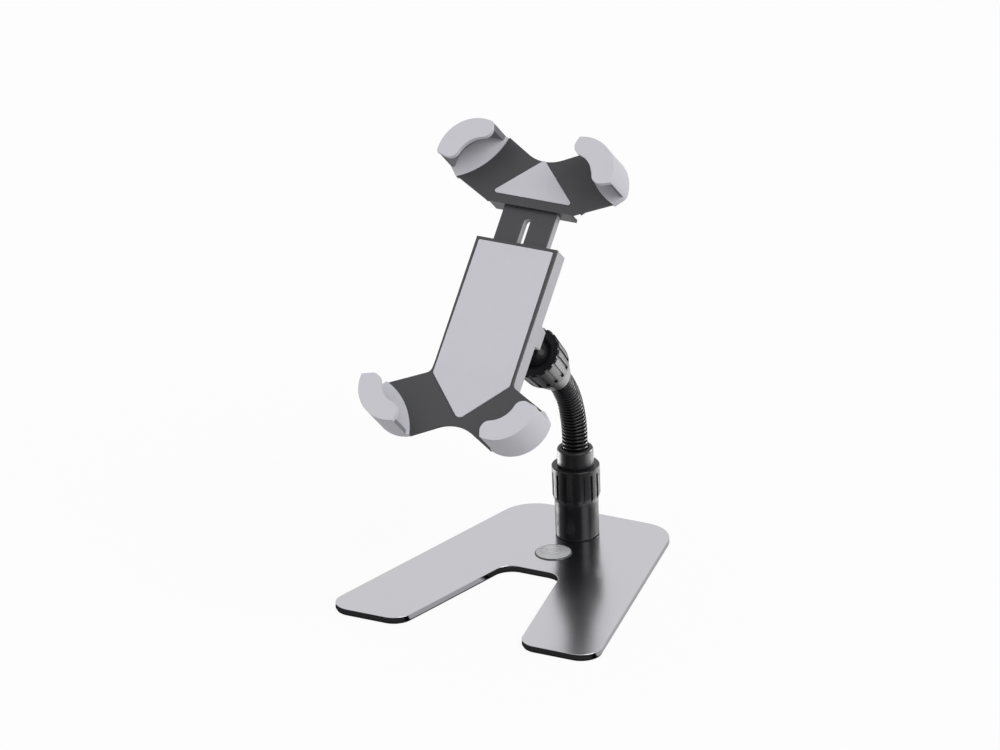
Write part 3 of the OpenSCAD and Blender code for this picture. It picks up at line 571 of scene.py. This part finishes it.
class PHONESTAND_OT_post(bpy.types.Operator):
    """Post with its hidden screw and split ring, and the collar nut"""

    bl_idname = "phonestand.post"
    bl_label = "Post and collar"

    def execute(self, context):
        sizes, colours = context.scene.stand_sizes, context.scene.stand_colours
        lacquer = black_lacquer("post_lacquer", colours.post, 0.14, specular=0.28)
        dressed("post", lacquer, sizes.post_edge, segments=3)
        keep("post_screw", turned_steel("screw_dark_steel", SCREW_STEEL, 0.3))
        keep("compression_ring", moulded_plastic("ring_white", RING_WHITE, 0.4))
        collar = polished_black("collar_black", colours.black, 0.22, specular=0.2)
        dressed("collar_nut", collar, sizes.nut_edge)
        return {"FINISHED"}


class PHONESTAND_OT_neck(bpy.types.Operator):
    """Ferrule, ribbed neck sections and the sleeves over the bends between them"""

    bl_idname = "phonestand.neck"
    bl_label = "Neck"

    def execute(self, context):
        sizes, colours = context.scene.stand_sizes, context.scene.stand_colours
        ferrule = polished_black("ferrule_satin", colours.black, 0.36, specular=0.2)
        dressed("neck_ferrule", ferrule, sizes.ferrule_edge, segments=3)
        ribbed = polished_black("neck_ribbed", colours.neck, 0.16, specular=0.16)
        # Groove finish: near-black painted shade, with hardly any gloss
        groove_shade = moulded_plastic("neck_groove_painted_shade", GROOVE_PAINTED_SHADE, 0.6, specular=0.02)
        for k in range(1, NECK_SECTIONS + 1):
            section = dressed(f"neck_section_{k}", ribbed, sizes.rib_edge)
            self.shade_grooves(section, k, groove_shade, sizes.groove_radius)
        # The sleeves wear the same near-black finish, painted shade like the grooves
        for k in range(1, NECK_SECTIONS):
            self.sleeve(k, groove_shade, sizes.sleeve_radius)
        return {"FINISHED"}

    def shade_grooves(self, section, k, finish, radius):
        """Gives the faces nearer to the axis than radius, between the ribs, a near-black finish:
        painted shade in the grooves.
        """
        start, along = self.axis(k)
        second_finish(section, finish, lambda at, normal: (at - start).cross(along).length < radius)

    def axis(self, k):
        """A point on the axis of the neck's section k, and its direction."""
        if k == 1:
            return JOINT_AT["neck_bend_1"], Vector((0, 0, 1))
        start = JOINT_AT[f"neck_bend_{k - 1}"]
        end = JOINT_AT["ball_tilt"] if k == NECK_SECTIONS else JOINT_AT[f"neck_bend_{k}"]
        return start, (end - start).normalized()

    def sleeve(self, k, finish, radius):
        """Short soft tube over one joint of the neck."""
        at = JOINT_AT[f"neck_bend_{k}"]
        before, after = (JOINT_AT.get(f"neck_bend_{i}", at) for i in (k - 1, k + 1))
        along = (after - before).normalized()
        half, wall, cuts = 0.85 * MM, 0.3 * MM, 3
        deselect()
        bpy.ops.mesh.primitive_cylinder_add(
            vertices=64,
            radius=radius,
            depth=2 * half,
            end_fill_type="NOTHING",
            location=at,
            rotation=along.to_track_quat("Z", "Y").to_euler(),
        )
        tube = bpy.context.object
        tube.name = f"neck_sleeve_{k}"
        bpy.ops.object.mode_set(mode="EDIT")
        bpy.ops.mesh.select_all(action="SELECT")
        bpy.ops.mesh.subdivide(number_cuts=cuts)
        bpy.ops.object.mode_set(mode="OBJECT")
        apply_modifier(tube, "SOLIDIFY", thickness=wall, offset=-1)
        pick(tube)
        bpy.ops.object.transform_apply(location=True, rotation=True, scale=True)
        smooth(tube, angle=50)
        finish.paint(tube)
        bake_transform(tube)


class PHONESTAND_OT_ball_joint(bpy.types.Operator):
    """Socket cone, friction cup, ridged nut and the ball with its stud"""

    bl_idname = "phonestand.ball_joint"
    bl_label = "Ball joint"

    def execute(self, context):
        sizes, colours = context.scene.stand_sizes, context.scene.stand_colours
        socket = polished_black("socket_black", colours.black, 0.36, specular=0.1)
        dressed("ball_socket", socket, sizes.socket_edge)
        keep("friction_cup", moulded_plastic("cup_white", CUP_WHITE, 0.35))
        nut = polished_black("nut_black", colours.black, 0.34, specular=0.14)
        dressed("ball_nut", nut, sizes.nut_edge)
        stud = black_lacquer("stud_black", colours.black, 0.2, specular=0.14)
        dressed("ball_stud", stud, rounding=0)
        return {"FINISHED"}


class PHONESTAND_OT_holder(bpy.types.Operator):
    """Stem, rear cover, face plate, front pad and their screws"""

    bl_idname = "phonestand.holder"
    bl_label = "Holder"

    def execute(self, context):
        sizes, colours = context.scene.stand_sizes, context.scene.stand_colours
        dark, light = shell_plastics(colours, "shell_dark", "shell_light")
        dressed("stem", light, sizes.cover_edge, segments=3)
        dressed("rear_cover", light, sizes.cover_edge, segments=3)
        dressed("face_plate", dark, sizes.shell_edge)
        dressed("front_pad", soft_rubber("pad_face", colours.pad, 0.66), sizes.pad_edge, segments=3)
        steel = turned_steel("screw_zinc", ZINC, 0.35)
        for node in ("stem_screws", "cover_screws", "guide_screw", "spring_washer"):
            keep(node, steel)
        return {"FINISHED"}


class PHONESTAND_OT_jaw(bpy.types.Operator):
    """Upper jaw, the tongue's backing, the jaw's back cover and its pad"""

    bl_idname = "phonestand.jaw"
    bl_label = "Upper jaw"

    def execute(self, context):
        sizes, colours = context.scene.stand_sizes, context.scene.stand_colours
        dark, light = shell_plastics(colours, "jaw_dark", "tongue_light")
        dressed("upper_jaw", dark, sizes.shell_edge)
        dressed("tongue_back", light, sizes.tongue_edge)
        dressed("jaw_back_cover", dark, sizes.jaw_cover_edge)
        pad = soft_rubber("triangle_face", colours.pad, 0.66)
        dressed("triangle_pad", pad, sizes.pad_edge, segments=3)
        steel = turned_steel("jaw_screw_zinc", ZINC, 0.35)
        for node in ("tongue_screws", "jaw_cover_screws"):
            keep(node, steel)
        return {"FINISHED"}


class PHONESTAND_OT_claws(bpy.types.Operator):
    """The four soft claws, with painted shade on the inside of their walls"""

    bl_idname = "phonestand.claws"
    bl_label = "Claws"

    def execute(self, context):
        sizes, colours = context.scene.stand_sizes, context.scene.stand_colours
        # Inner walls get the claw colour times this: painted shade, and rougher as well
        painted_shade_factor = 0.36
        soft = soft_rubber("claw_rubber", colours.claw, 0.58)
        wall_shade = soft_rubber("claw_wall_painted_shade", [painted_shade_factor * c for c in colours.claw], 0.75)
        nodes = [f"claw_{end}_{side}" for end in ("lower", "upper") for side in ("left", "right")]
        middles = [sum(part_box(node), Vector()) / 2 for node in nodes]
        centre = sum(middles, Vector()) / len(middles)
        facing = (middles[1] - middles[0]).cross(middles[2] - middles[0]).normalized()
        for node in nodes:
            claw = dressed(node, soft, sizes.claw_edge, segments=3)
            self.shade_inside(claw, wall_shade, centre, facing, sizes.lip_depth)
        return {"FINISHED"}

    def shade_inside(self, claw, wall_shade, centre, facing, lip):
        """Gives the wall's inner face, deeper than the lip, a darker and rougher finish: painted shade
        for the pocket under the lip.
        """
        top = max(vertex.co.dot(facing) for vertex in claw.data.vertices)

        def inside(at, normal):
            inward = centre - at
            inward = (inward - inward.dot(facing) * facing).normalized()
            on_wall = abs(normal.dot(facing)) < 0.5
            turned_in = normal.dot(inward) > 0.1
            return on_wall and turned_in and top - at.dot(facing) > lip

        second_finish(claw, wall_shade, inside)


class PHONESTAND_OT_stage(bpy.types.Operator):
    """Floor, lamps, sky and camera"""

    bl_idname = "phonestand.stage"
    bl_label = "Stage"

    def execute(self, context):
        studio = context.scene.stand_studio
        self.floor()
        self.lamps(studio)
        self.sky(studio.sky_light)
        self.camera(context, studio)
        return {"FINISHED"}

    def floor(self):
        """White, with cards that only gloss shows.

        Those in front and at the notch's back are black, those in its mouth and at the right grey.
        """
        deselect()
        just_below = -0.05 * MM
        bpy.ops.mesh.primitive_plane_add(size=12, location=(0, 0, just_below))
        floor = bpy.context.object
        floor.name = "floor"
        finish = Finish("floor_white", FLOOR_WHITE, 0.9)
        camera, glossy, through = finish.rays(
            "Is Camera Ray", "Is Glossy Ray", "Is Transmission Ray"
        )
        values = {"Vector": finish.node("ShaderNodeTexCoord", output="Object")}
        x, y = (finish.node("ShaderNodeSeparateXYZ", {}, values, output=axis) for axis in "XY")
        forward = -1 * y
        narrow_squared, wide_squared, fade_squared = 0.00095, 0.003, 0.0002
        narrow = (narrow_squared - x * x).above(0, fade_squared)
        wide = (wide_squared - x * x).above(0, fade_squared)
        behind_front = y.above(-0.13, 0.003)
        in_front = forward.above(0.124, 0.002)
        notch_back = y.above(-0.068, 0.005) * forward.above(0.04, 0.003) * narrow
        notch_mouth = behind_front * forward.above(0.06, 0.01) * wide
        at_right = behind_front * x.above(0.035, 0.01) * (0.11 - x).above(0, 0.01)
        black, grey = 0.97, 0.45
        cards = glossy * (black * (in_front + notch_back) + grey * (notch_mouth + at_right))
        glow = finish.node("ShaderNodeEmission", {}, {"Color": (1, 1, 1, 1), "Strength": 1.02})
        dark = finish.node("ShaderNodeEmission", {}, {"Color": (0, 0, 0, 1), "Strength": 0.0})
        lit = finish.node("ShaderNodeMixShader", {}, {0: cards, 1: glow, 2: dark})
        plain = Wire(finish, finish.shader.outputs["BSDF"])
        unlit_by_lamps = 0.9
        share = unlit_by_lamps * (camera + through) + glossy
        finish.show(finish.node("ShaderNodeMixShader", {}, {0: share, 1: plain, 2: lit}))
        finish.set("Specular IOR Level", 0.0)
        finish.paint(floor)

    def lamps(self, studio):
        """Two soft lamps, and others that only the gloss of the black pieces shows.

        A row gives the lamp's name, strength, direction, width in degrees and the pieces it gleams in.
        """
        black = bpy.data.collections.new("glossy_black")
        ribbed = bpy.data.collections.new("ribbed_black")
        for piece in bpy.context.scene.objects:
            for group, starts in ((black, GLOSSY_BLACK), (ribbed, RIBBED_BLACK)):
                if piece.name.endswith("_rounded") and piece.name.startswith(starts):
                    group.objects.link(piece)
        for name, strength, towards, width, gloss_of in (
            ("key", studio.key_light, (0.70, -0.22, 0.68), 45, None),
            ("top", studio.top_light, (-0.25, 0.25, 0.93), 60, None),
            ("reflector_right", studio.rim_light, (0.48, 0.72, -0.50), 46, black),
            ("reflector_high", 0.25 * studio.rim_light, (0.55, 0.82, 0.10), 24, black),
            ("reflector_left", 0.3 * studio.rim_light, (-0.93, 0.14, -0.34), 24, black),
            ("strip_right", 2.0 * studio.rim_light, (0.53, 0.81, -0.20), 30, ribbed),
            ("strip_left", 1.2 * studio.rim_light, (-0.97, 0.0, -0.20), 30, ribbed),
        ):
            deselect()
            bpy.ops.object.light_add(type="SUN", location=(0, 0, 1))
            lamp = bpy.context.object
            lamp.name = f"lamp_{name}"
            lamp.data.energy = strength
            lamp.data.angle = math.radians(width)
            lamp.rotation_euler = Vector(towards).to_track_quat("Z", "Y").to_euler()
            lamp.visible_glossy = name != "top"
            if gloss_of:
                lamp.visible_diffuse = False
                lamp.light_linking.receiver_collection = gloss_of
                lamp.light_linking.blocker_collection = gloss_of

    def sky(self, strength):
        """White to the eye and in gloss, and softer light from all round.

        In front stands a dark flag that only reflections of reflections show.
        """
        world = bpy.data.worlds.new("studio")
        bpy.context.scene.world = world
        sky = Sheet(world, "ShaderNodeOutputWorld")
        camera, glossy, through, bounce = sky.rays(
            "Is Camera Ray", "Is Glossy Ray", "Is Transmission Ray", "Glossy Depth"
        )
        towards = sky.node("ShaderNodeTexCoord", output="Generated")
        front = sky.node(
            "ShaderNodeVectorMath",
            {"operation": "DOT_PRODUCT"},
            {0: towards, 1: (0.44, -0.83, 0.34)},
            output="Value",
        )
        second_bounce = bounce.above(1.2, 0.5)
        flag = 0.93 * (front.above(0.15, 0.45) * second_bounce)
        shown = (camera + glossy + through).above(0.2, 0.5)
        soft, white, black = (
            sky.node("ShaderNodeBackground", {}, {"Color": (*colour, 1), "Strength": power})
            for colour, power in (((0.97, 0.97, 1), strength), ((1, 1, 1), 1.0), ((0, 0, 0), 0.0))
        )
        lit = sky.node("ShaderNodeMixShader", {}, {0: flag, 1: white, 2: black})
        sky.show(sky.node("ShaderNodeMixShader", {}, {0: shown, 1: soft, 2: lit}))

    def camera(self, context, studio):
        a, e = studio.azimuth, studio.elevation
        back = Vector((math.sin(a) * math.cos(e), -math.cos(a) * math.cos(e), math.sin(e)))
        right = Vector((math.cos(a), math.sin(a), 0))
        up = back.cross(right)
        across, above = 37.66, 2.80
        target = Vector((0, -1.3, 100)) * MM - right * across * MM - up * above * MM
        deselect()
        bpy.ops.object.camera_add(location=target + back * studio.distance)
        camera = bpy.context.object
        turn = Matrix((right, up, back)).transposed() @ Matrix.Rotation(studio.roll, 3, "Z")
        camera.rotation_euler = turn.to_euler()
        camera.data.lens = studio.lens
        camera.data.sensor_width = 36
        camera.data.clip_start, camera.data.clip_end = 0.1, 50
        context.scene.camera = camera
        context.scene.view_settings.view_transform = "Standard"


OPERATORS = (
    PHONESTAND_OT_base,
    PHONESTAND_OT_post,
    PHONESTAND_OT_neck,
    PHONESTAND_OT_ball_joint,
    PHONESTAND_OT_holder,
    PHONESTAND_OT_jaw,
    PHONESTAND_OT_claws,
    PHONESTAND_OT_stage,
)


class PHONESTAND_PT_panel(bpy.types.Panel):
    """Lists the stand's pieces and settings"""

    bl_idname = "PHONESTAND_PT_panel"
    bl_label = "Phone stand"
    bl_space_type = "VIEW_3D"
    bl_region_type = "UI"
    bl_category = "Phone stand"

    def draw(self, context):
        for operator in OPERATORS:
            self.layout.operator(operator.bl_idname)
        for settings in ("stand_sizes", "stand_colours", "stand_studio"):
            group = getattr(context.scene, settings)
            box = self.layout.box()
            for name in group.__annotations__:
                box.prop(group, name)


SETTINGS = {
    "stand_sizes": StandSizes,
    "stand_colours": StandColours,
    "stand_studio": StudioSettings,
}
CLASSES = (*SETTINGS.values(), *OPERATORS, PHONESTAND_PT_panel)


def register():
    for made in CLASSES:
        bpy.utils.register_class(made)
    for name, group in SETTINGS.items():
        setattr(bpy.types.Scene, name, bpy.props.PointerProperty(type=group))


def unregister():
    for name in SETTINGS:
        delattr(bpy.types.Scene, name)
    for made in reversed(CLASSES):
        bpy.utils.unregister_class(made)


def main():
    register()
    for operator in OPERATORS:
        group, name = operator.bl_idname.split(".")
        getattr(getattr(bpy.ops, group), name)()


if __name__ == "__main__":
    main()
